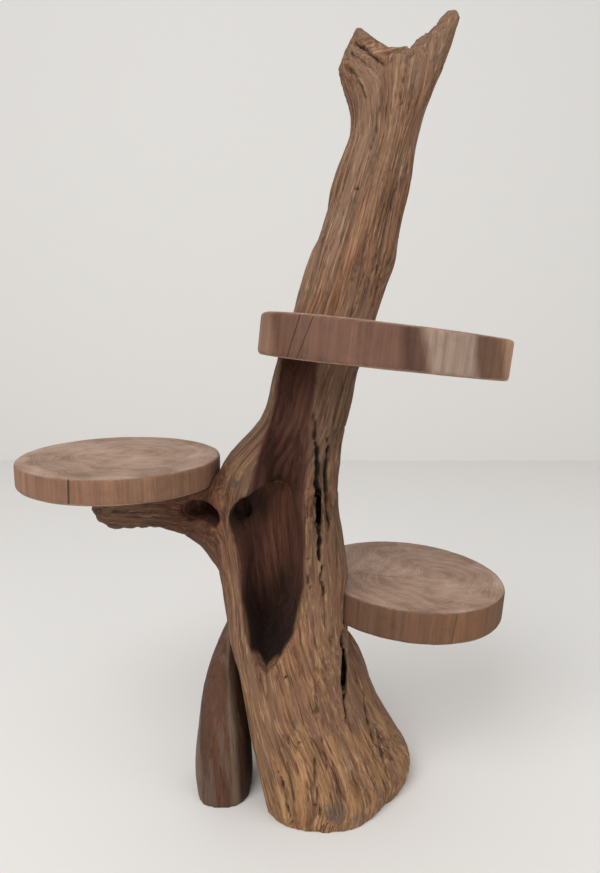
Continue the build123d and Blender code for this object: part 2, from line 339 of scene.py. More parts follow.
def hollowShare(point):
    # 1 on the walls of the long front hollow, the gutter above it and the knot hole, 0 outside
    x, y, z = point
    share = 0.0
    if y < hollow["back"] and within(hollow["across"], x) and within(hollow["height"], z):
        share = 1 - smoothStep(*hollow["fade"], insideOutline(x, z, hollow["outline"]))
    if y < gutter["back"] and within(gutter["height"], z):
        left, right, front, back = between(gutter["rows"], z)
        across = (x - (left + right) / 2) / ((right - left) / 2)
        deep = (y - (front + back) / 2) / ((back - front) / 2)
        share = max(share, 1 - smoothStep(*gutter["fade"], math.hypot(across, deep)))
    if y < knotHole["back"] and x < knotHole["right"] and within(knotHole["height"], z):
        shifted = x - knotHole["slope"] * (y - knotHole["surface"])
        away = insideOutline(shifted, z, knotHole["outline"]) - knotHole["wider"]
        share = max(share, 1 - smoothStep(*knotHole["fade"], away))
    return share


def rootSkin(point, normal):
    shape = rootShape
    x, y, z = point
    middleX, halfX, middleY, halfY = between(shape["stations"], z)
    # straightened coordinates: across and deep in the root's own proportions, and along the fibres
    half = shape["stemHalfWidth"]
    stem = Vector(((x - middleX) / halfX * half, (y - middleY) / halfY * half, z))
    branchUp = (z - shape["branchMiddle"]) * shape["branchTall"]
    branch = Vector((branchUp, y * shape["branchDeep"], shape["branchFar"] - x))
    toBranch = smoothStep(*shape["branchAcross"], -x) * smoothStep(*shape["branchHeight"], z)
    grainPoint = stem.lerp(branch, toBranch)
    drift = sum(waves(point, *row) for row in shape["drift"])
    lean = smoothStep(*shape["leanHeight"], z) * (1 - smoothStep(*shape["leanAcross"], x))
    lean = lean * (z - shape["leanHeight"][0]) * shape["lean"]
    grainPoint = grainPoint + Vector((drift + lean, -drift, 0))
    inner = hollowShare(point)
    keep = nearSlice(point) * smoothStep(*shape["footKeep"], z)

    broad = waves(point, *shape["broad"])
    furrow = furrows(grainPoint, *shape["furrow"])
    fibre = furrows(grainPoint, *shape["fibre"])
    patch = smoothStep(*shape["patchLimits"], waves(point, *shape["patch"]))
    rough = (shape["leastRough"] + shape["patchRough"] * patch) * (1 - shape["hollowCalm"] * inner)
    if normal.y < 0:
        strands = window(*shape["strandHeight"], z) * smoothStep(*shape["strandAcross"], x)
        rough += shape["strandRough"] * (strands * (1 - inner))
    shift = broad * (1 - shape["hollowFlat"] * inner) + (furrow + fibre) * rough
    if y < knotScoop["back"] and x < knotScoop["right"]:
        away = math.hypot((x - knotScoop["across"]) / knotScoop["stretch"], z - knotScoop["height"])
        scoop = 1 - smoothStep(*knotScoop["fade"], away)
        shift -= knotScoop["depth"] * scoop * max(0.0, -normal.y)
        inner = max(inner, scoop)
    tip = smoothStep(*shape["breakAcross"], -x)
    if tip:
        torn = 1 - ridged(point * shape["breakScale"] + Vector(shape["breakShift"]))
        shift -= torn * shape["breakDepth"] * tip
    crack = 0.0
    if normal.y < shape["crackFacing"] and inner < shape["crackInner"]:
        crack = crackDepth(x, z)
    shift -= crack
    # the colours darken with this relief as painted shade in the furrows and the cracks
    reliefValue = furrow * shape["furrowShadeShare"] + fibre - crack * shape["crackShadeShare"]
    return shift * keep, grainPoint, inner, reliefValue * keep


def meltStep(piece):
    # on its right side the hollow runs up into the gutter without a step
    mesh = piece.data
    inner = [0.0] * len(mesh.vertices)
    mesh.attributes["inner"].data.foreach_get("value", inner)
    for vertex in mesh.vertices:
        x, y, z = vertex.co / millimetre
        floorY = meltFloor["depth"] - (z - meltFloor["height"]) * meltFloor["slope"]
        if inner[vertex.index] < meltFloor["leastInner"] or y >= floorY:
            continue
        share = window(*meltFloor["across"], x) * smoothStep(*meltFloor["front"], y)
        share *= window(*meltFloor["rise"], z)
        vertex.co.y += (floorY - y) * share * millimetre
    mesh.update()


root = remeshedCopy("trunk", "rootSkin", rootShape)
carve(root, rootSkin)
meltStep(root)
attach(root, "root")
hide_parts("trunk")
print("root carved", len(root.data.polygons), "faces")


# the prop leg

legShape = {
    "voxel": 0.0016, "smoothing": 1,     # the voxel in metres
    # the middle across and in height, and how far the fibres lean per mm of height
    "middle": (-95, 60), "lean": 0.05,
    # waves and furrows as on the root, and the height over which the foot stays flat
    "broad": (0.03, 0.8), "furrow": (0.25, 0.012, 0.5, 0.35), "footKeep": (0.3, 2.5),
}


def legSkin(point, normal):
    x, y, z = point
    middleX, middleZ = legShape["middle"]
    grainPoint = Vector((x - middleX + (z - middleZ) * legShape["lean"], y, z))
    furrow = furrows(grainPoint, *legShape["furrow"])
    keep = smoothStep(*legShape["footKeep"], z)
    return (waves(point, *legShape["broad"]) + furrow) * keep, grainPoint, 0.0, furrow


leg = remeshedCopy("prop_leg", "propLeg", legShape)
carve(leg, legSkin)
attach(leg, "root")
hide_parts("prop_leg")
print("leg carved", len(leg.data.polygons), "faces")


# the three slices

sliceShape = {
    "voxel": 0.0016, "smoothing": 1,     # the voxel in metres
    # each slice takes its waves from a place of its own
    "seedStep": (13.7, 5.1, 2.3),
    # a face counts as side while its normal looks up or down by less than the first limit, and
    # as flat when it does so by more than the second
    "sideLimits": (0.55, 0.9),
    # the sides are uneven round the slice, and nearly straight up and down
    "roundScale": 9, "upScale": 0.01, "wobble": ((0.12, 1.1), (0.6, 0.28)),
    # the flat faces are nearly flat, and all faces lie this far inside the CAD body's
    "flat": (0.03, 0.25), "sink": 0.15,
}


def sliceSkin(item, seed):
    offset = Vector([seed * step for step in sliceShape["seedStep"]])
    turns, climb = sliceShape["roundScale"], sliceShape["upScale"]

    def skin(point, normal):
        local = item["inverse"] @ point
        angle = math.atan2(local.y, local.x)
        side = 1 - smoothStep(*sliceShape["sideLimits"], abs(normal.z))
        edge = Vector((math.cos(angle) * turns, math.sin(angle) * turns, local.z * climb)) + offset
        wobble = sum(waves(edge, *row) for row in sliceShape["wobble"])
        flat = waves(local, *sliceShape["flat"], offset)
        shift = side * wobble + (1 - side) * flat
        return shift - sliceShape["sink"], local, side, shift
    return skin


slicePieces = {}
for seed, (nodeName, item) in enumerate(slices.items(), 1):
    piece = remeshedCopy(nodeName, item["name"], sliceShape)
    carve(piece, sliceSkin(item, seed))
    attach(piece, "root")
    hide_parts(nodeName)
    slicePieces[nodeName] = piece
    print(item["name"], "carved", len(piece.data.polygons), "faces")


# material helpers

def linear(hexColour):
    # a colour as it is picked on a screen, taken through the screen's curve to light values
    parts = [int(hexColour[i:i + 2], 16) / 255 for i in (0, 2, 4)]
    return [c / 12.92 if c <= 0.04045 else ((c + 0.055) / 1.055) ** 2.4 for c in parts] + [1.0]


def newMaterial(name):
    material = bpy.data.materials.new(name)
    material.use_nodes = True
    tree = material.node_tree
    tree.nodes.clear()
    output = tree.nodes.new("ShaderNodeOutputMaterial")
    shader = tree.nodes.new("ShaderNodeBsdfPrincipled")
    tree.links.new(shader.outputs["BSDF"], output.inputs["Surface"])
    return material, tree, shader


def mathNode(tree, operation, first, second=None, third=None, clampIt=False):
    node = tree.nodes.new("ShaderNodeMath")
    node.operation = operation
    node.use_clamp = clampIt
    for index, value in enumerate((first, second, third)):
        if value is None:
            continue
        if isinstance(value, (int, float)):
            node.inputs[index].default_value = value
        else:
            tree.links.new(value, node.inputs[index])
    return node.outputs[0]


def noiseNode(tree, vector, scale, detail, roughness, distortion=0.0):
    node = tree.nodes.new("ShaderNodeTexNoise")
    node.inputs["Scale"].default_value = scale
    node.inputs["Detail"].default_value = detail
    node.inputs["Roughness"].default_value = roughness
    node.inputs["Distortion"].default_value = distortion
    tree.links.new(vector, node.inputs["Vector"])
    return node.outputs["Fac"]


def mappedVector(tree, vector, scale=(1, 1, 1), location=(0, 0, 0), rotation=(0, 0, 0)):
    node = tree.nodes.new("ShaderNodeMapping")
    node.inputs["Location"].default_value = location
    node.inputs["Rotation"].default_value = rotation
    node.inputs["Scale"].default_value = scale
    tree.links.new(vector, node.inputs["Vector"])
    return node.outputs["Vector"]


def stretched(tree, value, low, high):
    # spreads what lies between the two limits out to the whole range from 0 to 1
    node = tree.nodes.new("ShaderNodeMapRange")
    node.inputs["From Min"].default_value = low
    node.inputs["From Max"].default_value = high
    tree.links.new(value, node.inputs["Value"])
    return node.outputs["Result"]


def grainNoise(tree, vector, squash, shift, *settings):
    # a noise that is drawn out along the grain, which is the third coordinate
    return noiseNode(tree, mappedVector(tree, vector, (1, 1, squash), shift), *settings)


def grainMask(tree, vector, row):
    # the same noise as a mask that rises between the row's last two limits
    *settings, limits = row
    return stretched(tree, grainNoise(tree, vector, *settings), *limits)


def rampNode(tree, value, stops):
    node = tree.nodes.new("ShaderNodeValToRGB")
    ramp = node.color_ramp
    while len(ramp.elements) < len(stops):
        ramp.elements.new(0.5)
    for element, (position, colour) in zip(ramp.elements, stops):
        element.position = position
        if isinstance(colour, str):
            element.color = linear(colour)
        else:
            element.color = (colour, colour, colour, 1)
    tree.links.new(value, node.inputs["Fac"])
    return node.outputs["Color"]


def mixColour(tree, factor, first, second, blend="MIX"):
    node = tree.nodes.new("ShaderNodeMix")
    node.data_type = "RGBA"
    node.blend_type = blend
    # the colour sockets of this node share their names with its number sockets
    sockets = {socket.name: socket for socket in node.inputs if socket.enabled}
    for name, value in (("Factor", factor), ("A", first), ("B", second)):
        if isinstance(value, str):
            sockets[name].default_value = linear(value)
        elif isinstance(value, (int, float)):
            sockets[name].default_value = value
        else:
            tree.links.new(value, sockets[name])
    return next(socket for socket in node.outputs if socket.enabled)


def toned(tree, colour, tone, share=1.0):
    # multiplies a colour by a tone
    return mixColour(tree, share, colour, tone, "MULTIPLY")


def laid(tree, colour, mask, share, over):
    # lays another colour over the first where the mask says, at a share of its strength
    return mixColour(tree, mathNode(tree, "MULTIPLY", mask, share), colour, over)


def attributeNode(tree, name):
    node = tree.nodes.new("ShaderNodeAttribute")
    node.attribute_type = "GEOMETRY"
    node.attribute_name = name
    return node.outputs


def separated(tree, vector):
    node = tree.nodes.new("ShaderNodeSeparateXYZ")
    tree.links.new(vector, node.inputs[0])
    return node.outputs


def distanceNode(tree, vector, centre=(0, 0, 0)):
    node = tree.nodes.new("ShaderNodeVectorMath")
    node.operation = "DISTANCE"
    tree.links.new(vector, node.inputs[0])
    node.inputs[1].default_value = centre
    return node.outputs["Value"]


def bumpNode(tree, height, strength, distance):
    node = tree.nodes.new("ShaderNodeBump")
    node.inputs["Strength"].default_value = strength
    node.inputs["Distance"].default_value = distance
    tree.links.new(height, node.inputs["Height"])
    return node.outputs["Normal"]


def newGroup(name, inputs, outputs):
    group = bpy.data.node_groups.new(name, "ShaderNodeTree")
    for socketName, kind in inputs:
        group.interface.new_socket(socketName, in_out="INPUT", socket_type=kind)
    for socketName, kind in outputs:
        group.interface.new_socket(socketName, in_out="OUTPUT", socket_type=kind)
    return group, group.nodes.new("NodeGroupInput"), group.nodes.new("NodeGroupOutput")


# the fibres of every wood

# squash along the grain, shift, scale, detail, roughness and distortion of each noise, and the
# limits of its mask
fibreLook = {
    "Fibre": (0.026, (0, 0, 0), 760, 5, 0.7, 0.0, (0.34, 0.66)),
    "Streak": (0.032, (0.3, 0.1, 0.7), 230, 6, 0.62, 0.1, (0.34, 0.66)),
    "Pore": (0.05, (0.9, 0.4, 0.2), 1400, 2, 0.5, 0.0, (0.60, 0.68)),
    "vein": (0.045, (0.5, 0.6, 0.1), 75, 4, 0.6, 0.0, (0.012, 0.002)),
    "patches": (0.25, (0.8, 0.3, 0.6), 42, 3, 0.55, 0.0, (0.48, 0.56)),
    # what each adds to the height of the surface
    "heights": {"Streak": 0.5, "Fibre": 0.8, "Pore": -0.4, "Crack": -1.2},
}


def buildFibres():
    # long fibres, slow streaks, pores and hair cracks that run along the third grain coordinate
    group, start, end = newGroup(
        "woodFibres",
        (("Grain", "NodeSocketVector"), ("Fineness", "NodeSocketFloat")),
        [(name, "NodeSocketFloat") for name in ("Fibre", "Streak", "Pore", "Crack", "Height")],
    )
    scaled = group.nodes.new("ShaderNodeVectorMath")
    scaled.operation = "SCALE"
    group.links.new(start.outputs["Grain"], scaled.inputs[0])
    group.links.new(start.outputs["Fineness"], scaled.inputs["Scale"])
    grain = scaled.outputs[0]
    masks = {name: grainMask(group, grain, fibreLook[name]) for name in ("Fibre", "Streak", "Pore")}
    # hair cracks: thin lines where a slow noise passes through its middle value, in patches
    *settings, limits = fibreLook["vein"]
    vein = mathNode(group, "SUBTRACT", grainNoise(group, grain, *settings), noiseMiddle)
    vein = stretched(group, mathNode(group, "ABSOLUTE", vein), *limits)
    patches = grainMask(group, grain, fibreLook["patches"])
    masks["Crack"] = mathNode(group, "MULTIPLY", vein, patches)
    heights = fibreLook["heights"]
    height = mathNode(group, "MULTIPLY", masks["Streak"], heights["Streak"])
    for name in ("Fibre", "Pore", "Crack"):
        height = mathNode(group, "MULTIPLY_ADD", masks[name], heights[name], height)
    masks["Height"] = height
    for name, value in masks.items():
        group.links.new(value, end.inputs[name])
    return group


def placeFibres(tree, grain, fineness):
    node = tree.nodes.new("ShaderNodeGroup")
    node.node_tree = fibres
    tree.links.new(grain, node.inputs["Grain"])
    node.inputs["Fineness"].default_value = fineness
    return node.outputs


fibres = buildFibres()
woodSpecular = 0.3


# root wood

# noises are given as above, ramps as (place, colour or tone) stops
rootLook = {
    "fineness": 1.0, "height": 0.624,     # the root's height in metres
    "body": (
        (0.0, "694833"), (0.25, "805b43"), (0.5, "946a4e"), (0.75, "a87b5a"), (1.0, "bd9168")),
    "thread": ((0.0, 0.42), (0.3, 0.75), (0.65, 1.0), (1.0, 1.22)), "threadShare": 0.95,
    # straw streaks with colours by height, more of them near the foot
    "straw": ((0.0, "b98d5e"), (0.3, "b08760"), (0.6, "aa8467"), (1.0, "b08c70")),
    "strawNoise": (0.045, (0.2, 0.5, 0.4), 110, 5, 0.65, 0.1), "strawLimits": (0.50, 0.60),
    "strawShare": 0.6, "strawThread": 0.85, "footHeight": 0.16, "footMore": 0.09,
    "orangeNoise": (0.03, (0.7, 0.1, 0.9), 260, 4, 0.65, 0.0, (0.53, 0.64)),
    "orange": "895a3c", "orangeShare": 0.4,
    # grey-brown weathered skin in patches, whose edges the streaks and the fibres tear
    "skin": ((0.0, "86644b"), (0.35, "84624c"), (0.6, "90705b"), (1.0, "8f7059")),
    "skinNoise": (0.30, (0.4, 0.8, 0.3), 24, 3, 0.55, 0.2), "skinLimits": (0.425, 0.470),
    "skinTorn": (("Streak", -0.06), ("Fibre", -0.04)), "skinShare": 0.82, "skinThread": 0.55,
    # short pale and dark flecks of frayed fibre: noise, tint and strength
    "flecks": (
        ((0.075, (0.6, 0.9, 0.2), 430, 3, 0.6, 0.0, (0.56, 0.63)), "c9a17a", 0.5),
        ((0.075, (0.15, 0.35, 0.75), 360, 3, 0.6, 0.0, (0.57, 0.64)), "633d2a", 0.6)),
    "fleckThread": 0.6,
    # the middle of the stem and the branch are darker and redder than the ends, partly as darker
    # wood
    # and partly as painted shade, under the top slab and under the left slice
    "tone": ((0.0, 0.98), (0.27, 1.0), (0.36, 0.70), (0.56, 0.64), (0.61, 0.98), (1.0, 1.0)),
    "branch": ((0.0, 0.0), (0.30, 0.0), (0.55, 1.0), (0.85, 1.0), (1.0, 0.0)),
    "branchLeft": 0.2, "branchReach": 0.12, "branchShadeTint": "c99f92", "branchShare": 0.7,
    # a grey knot on the shoulder and worn grey patches on the foot: across, height and radius in
    # mm, tint and strength
    "spots": (
        (-38, 96, 22, "89644c", 0.65), (-14, 84, 13, "8c6850", 0.5),
        (-81.6, 269.7, 4.0, "5d4f49", 0.85), (-68, 262, 3, "6e5c50", 0.4),
        (-2, 15, 9, "6f5f52", 0.7), (14, 8, 6, "75655a", 0.6)),
    "spotFlanks": (1.5, 1.2), "spotThread": 0.7,
    # hair cracks and pores: tint and strength
    "marks": (("Crack", "2e1c12", 0.65), ("Pore", "3a2519", 0.45)),
    # painted shade in the furrows and the cracks, and paler raised fibres
    "relief": (0.30, 0.5), "furrow": ((0.0, 0.10), (0.28, 0.55), (0.46, 0.96), (0.75, 1.08)),
    # the hollow's smooth dark heartwood, with tones by height that paint shade deep in its narrow
    # lower end
    "heart": ((0.0, "432a20"), (0.5, "5c3a2c"), (1.0, "744c3b")), "heartThread": 0.6,
    "heartDepthShade": (
        (0.0, 0.17), (0.22, 0.17), (0.27, 0.45), (0.32, 1.25), (0.40, 1.2), (0.47, 1.0),
        (1.0, 1.0)),
    # it is darkest behind the thin bridge between the hollow and the knot hole
    "shadeSquash": (0.7, 0, 1), "shadePlace": (-0.0532, 0, 0.246), "shadeLimits": (0.023, 0.008),
    "shade": "1a100c", "shadeShare": 0.72,
    "roughness": (-0.15, 0.85), "smoothSkin": -0.45, "bump": (0.8, 0.0012),
}


def rootWood():
    look = rootLook
    material, tree, shader = newMaterial("weatheredRootWood")
    grain = attributeNode(tree, "grain")["Vector"]
    inner = attributeNode(tree, "inner")["Fac"]
    relief = attributeNode(tree, "relief")["Fac"]
    place = tree.nodes.new("ShaderNodeTexCoord").outputs["Object"]
    along = separated(tree, place)
    rise = mathNode(tree, "DIVIDE", along["Z"], look["height"])
    fibre = placeFibres(tree, grain, look["fineness"])

    thread = rampNode(tree, fibre["Fibre"], look["thread"])
    colour = toned(tree, rampNode(tree, fibre["Streak"], look["body"]), thread, look["threadShare"])
    foot = mathNode(tree, "DIVIDE", along["Z"], look["footHeight"])
    foot = mathNode(tree, "SUBTRACT", 1.0, foot, clampIt=True)
    strawNoise = grainNoise(tree, grain, *look["strawNoise"])
    strawMask = mathNode(tree, "MULTIPLY_ADD", foot, look["footMore"], strawNoise)
    strawMask = stretched(tree, strawMask, *look["strawLimits"])
    straw = toned(tree, rampNode(tree, rise, look["straw"]), thread, look["strawThread"])
    colour = laid(tree, colour, strawMask, look["strawShare"], straw)
    orangeMask = grainMask(tree, grain, look["orangeNoise"])
    colour = laid(tree, colour, orangeMask, look["orangeShare"], look["orange"])
    skinMask = grainNoise(tree, grain, *look["skinNoise"])
    for name, share in look["skinTorn"]:
        skinMask = mathNode(tree, "MULTIPLY_ADD", fibre[name], share, skinMask)
    skinMask = stretched(tree, skinMask, *look["skinLimits"])
    skin = toned(tree, rampNode(tree, rise, look["skin"]), thread, look["skinThread"])
    colour = laid(tree, colour, skinMask, look["skinShare"], skin)
    for noiseRow, tint, share in look["flecks"]:
        fleck = toned(tree, tint, thread, look["fleckThread"])
        colour = laid(tree, colour, grainMask(tree, grain, noiseRow), share, fleck)
    # painted shade under the top slab, with darker wood, on the middle of the stem
    colour = toned(tree, colour, rampNode(tree, rise, look["tone"]))
    # the branch: darker, redder wood and painted shade under the left slice
    branch = mathNode(tree, "ADD", along["X"], look["branchLeft"])
    branch = rampNode(tree, mathNode(tree, "DIVIDE", branch, look["branchReach"]), look["branch"])
    shadedRedder = toned(tree, colour, look["branchShadeTint"])
    colour = laid(tree, colour, branch, look["branchShare"], shadedRedder)
    # spots, round in the front view, with edges that the straw streaks fray
    front = mappedVector(tree, place, (1, 0, 1))
    outer, full = look["spotFlanks"]
    for across, height, radius, tint, share in look["spots"]:
        gap = distanceNode(tree, front, (across * millimetre, 0, height * millimetre))
        gap = mathNode(tree, "MULTIPLY_ADD", strawNoise, radius * millimetre, gap)
        spot = stretched(tree, gap, radius * outer * millimetre, radius * full * millimetre)
        colour = laid(tree, colour, spot, share, toned(tree, tint, thread, look["spotThread"]))
    for name, tint, share in look["marks"]:
        colour = laid(tree, colour, fibre[name], share, tint)
    # painted shade in the furrows and the cracks, and paler raised fibres
    furrow = rampNode(tree, mathNode(tree, "MULTIPLY_ADD", relief, *look["relief"]), look["furrow"])
    colour = toned(tree, colour, furrow)

    heart = toned(tree, rampNode(tree, fibre["Streak"], look["heart"]), thread, look["heartThread"])
    # painted shade deep in the narrow lower end of the hollow
    heart = toned(tree, heart, rampNode(tree, rise, look["heartDepthShade"]))
    shade = distanceNode(tree, mappedVector(tree, place, look["shadeSquash"]), look["shadePlace"])
    shade = stretched(tree, shade, *look["shadeLimits"])
    heart = laid(tree, heart, shade, look["shadeShare"], look["shade"])
    tree.links.new(mixColour(tree, inner, colour, heart), shader.inputs["Base Color"])
    roughness = mathNode(tree, "MULTIPLY_ADD", fibre["Fibre"], *look["roughness"])
    tree.links.new(roughness, shader.inputs["Roughness"])
    shader.inputs["Specular IOR Level"].default_value = woodSpecular
    # the smooth skin shows less of the fibres' height
    height = mathNode(tree, "MULTIPLY_ADD", skinMask, look["smoothSkin"], 1.0)
    height = mathNode(tree, "MULTIPLY", fibre["Height"], height)
    tree.links.new(bumpNode(tree, height, *look["bump"]), shader.inputs["Normal"])
    return material


# leg wood

legLook = {
    "fineness": 0.9,
    "body": ((0.0, "442a1b"), (0.5, "5c3c2a"), (1.0, "74503a")),
    "thread": ((0.0, 0.62), (0.4, 0.88), (1.0, 1.08)), "threadShare": 0.9,
    # pale sawn edges and darker facets, from the left of the leg to its right; the dark right-hand
    # facets are darker wood and painted shade
    "facetsAndShade": (
        (0.0, "8b7667"), (0.20, "776152"), (0.235, "452c20"), (0.265, "553627"), (0.48, "603e2b"),
        (0.60, "563627"), (0.63, "776252"), (0.68, "705c4c"), (0.72, "3c2519"), (1.0, "33211a")),
    # the leg's width in metres, and where its middle falls among the facets
    "width": 0.064, "middle": 0.5, "facetThread": 0.9, "facetShare": 0.78,
    "crack": "20140e", "crackShare": 0.7,
    "greyNoise": (0.05, (0.4, 0.2, 0.3), 70, 5, 0.65, 0.0, (0.50, 0.58)),
    "grey": "6e5a4c", "greyThread": 0.6, "greyShare": 0.6,
    "roughness": 0.7, "bump": (0.45, 0.0008),
}


def legWood():
    look = legLook
    material, tree, shader = newMaterial("smoothSawnLegWood")
    grain = attributeNode(tree, "grain")["Vector"]
    fibre = placeFibres(tree, grain, look["fineness"])
    thread = rampNode(tree, fibre["Fibre"], look["thread"])
    colour = toned(tree, rampNode(tree, fibre["Streak"], look["body"]), thread, look["threadShare"])
    across = separated(tree, grain)["X"]
    across = mathNode(tree, "MULTIPLY_ADD", across, 1 / look["width"], look["middle"])
    # the dark right-hand facets are darker wood and painted shade
    facetsAndShade = toned(tree, rampNode(tree, across, look["facetsAndShade"]), thread, look["facetThread"])
    colour = mixColour(tree, look["facetShare"], colour, facetsAndShade)
    colour = laid(tree, colour, fibre["Crack"], look["crackShare"], look["crack"])
    grey = toned(tree, look["grey"], thread, look["greyThread"])
    greyMask = grainMask(tree, grain, look["greyNoise"])
    colour = laid(tree, colour, greyMask, look["greyShare"], grey)
    tree.links.new(colour, shader.inputs["Base Color"])
    shader.inputs["Roughness"].default_value = look["roughness"]
    shader.inputs["Specular IOR Level"].default_value = woodSpecular
    tree.links.new(bumpNode(tree, fibre["Height"], *look["bump"]), shader.inputs["Normal"])
    return material


# slice wood

# what the three slices share
sliceLook = {
    "fineness": 0.85,
    # scale, detail, roughness and distortion of the noises on the flat faces
    "warp": (22, 2, 0.5), "faint": (60, 2, 0.5),
    "blotch": (26, 6, 0.62, 0.5), "blotchLimits": (0.22, 0.78),
    # fine and wide growth rings per metre, their strengths, and how far they stray in metres
    "rings": 1700, "wideRings": 480, "ringShare": 0.15, "wideShare": 0.07, "warpReach": 0.05,
    "top": ((0.0, "7e6251"), (0.25, "947764"), (0.5, "a88a77"), (0.75, "b79a87"), (1.0, "c4a997")),
    # a darker outer ring just inside the sanded rim
    "rim": ((0.0, 1.0), (0.5, 0.96), (0.72, 0.97), (0.82, 0.84), (0.92, 0.90), (1.0, 0.98)),
    "speck": (800, 4, 0.7), "speckLimits": (0.36, 0.60),
    "speckTone": ((0.0, 0.78), (0.6, 1.0)), "speckShare": 0.8,
    # sapwood and heartwood bands on the sides stray a little, and lean, as in a slice cut askew
    "bandNoise": (0.15, (0.1, 0.3, 0.2), 45, 3, 0.5, 0.0), "bandReach": 0.02, "bandLean": 0.25,
    "streakTone": ((0.0, 0.74), (0.5, 0.92), (1.0, 1.04)),
    "thread": ((0.0, 0.78), (0.4, 0.95), (1.0, 1.06)), "threadShare": 0.9,
    # uneven stains and the marks of the sander
    "stainNoise": (1.3, (0.6, 0.2, 0.8), 42, 5, 0.62, 0.4, (0.30, 0.70)),
    "stain": ((0.0, 0.80), (0.5, 0.98), (1.0, 1.0)),
    # dark splits down the front, with flanks in half widths and what is front in metres
    "split": "2b1a12", "splitShare": 0.85, "splitStray": 0.0004,
    "splitFlanks": (1.6, 0.5), "splitFront": (0.0, -0.002),
    # short checks on the top
    "check": "35231a", "checkShare": 0.8, "checkFlanks": (1.2, 0.6),
    "roughness": 0.75, "ringHeight": 0.12, "bump": (0.4, 0.0007),
}
# each slice's own heart and reach of its rings, seed, ends of the bands from left to right, and
# bands; splits: across, lean and half width; checks: across, deep, turn, half length, half width
sliceLooks = {
    "left_shelf": {
        "pith": (8, 6), "seed": 1, "reach": 84, "across": (-82, 82),
        "bands": (
            (0.0, "9b7760"), (0.2, "926b54"), (0.5, "8f6953"), (0.8, "916c53"), (1.0, "88624d")),
        "splits": ((-16.8, 0.03, 0.8),),
        "checks": ((17.5, 30.5, 20, 5, 0.6), (-20, 22, -50, 9, 0.4), (4, -6, 80, 7, 0.35)),
    },
    "right_shelf": {
        "pith": (22, -6), "seed": 2, "reach": 96, "across": (-83, 83),
        "bands": (
            (0.0, "654733"), (0.3, "71503c"), (0.6, "7c5841"), (0.72, "865f42"), (0.85, "77543b"),
            (1.0, "6e4d38")),
        "splits": ((22, 0.1, 0.3),),
        "checks": ((-20, -14, 30, 16, 0.4), (30, 16, -25, 12, 0.35)),
    },
    "top_shelf": {
        "pith": (20, -10), "seed": 3, "reach": 110, "across": (-62, 129),
        "bands": (
            (0.0, "9c745a"), (0.05, "8d6852"), (0.09, "6f4c3a"), (0.2, "775545"), (0.35, "7f5b4a"),
            (0.5, "785545"), (0.56, "593c2f"), (0.61, "6a4b3c"), (0.64, "a68c7b"),
            (0.80, "a98f7e"), (0.84, "6f503e"), (0.94, "76563f"), (0.97, "a17c62"),
            (1.0, "ae886a")),
        "splits": ((-39.5, 0.2, 0.35), (-33.0, 0.28, 0.3)),
        "checks": ((10, -60, 15, 12, 0.4),),
    },
}


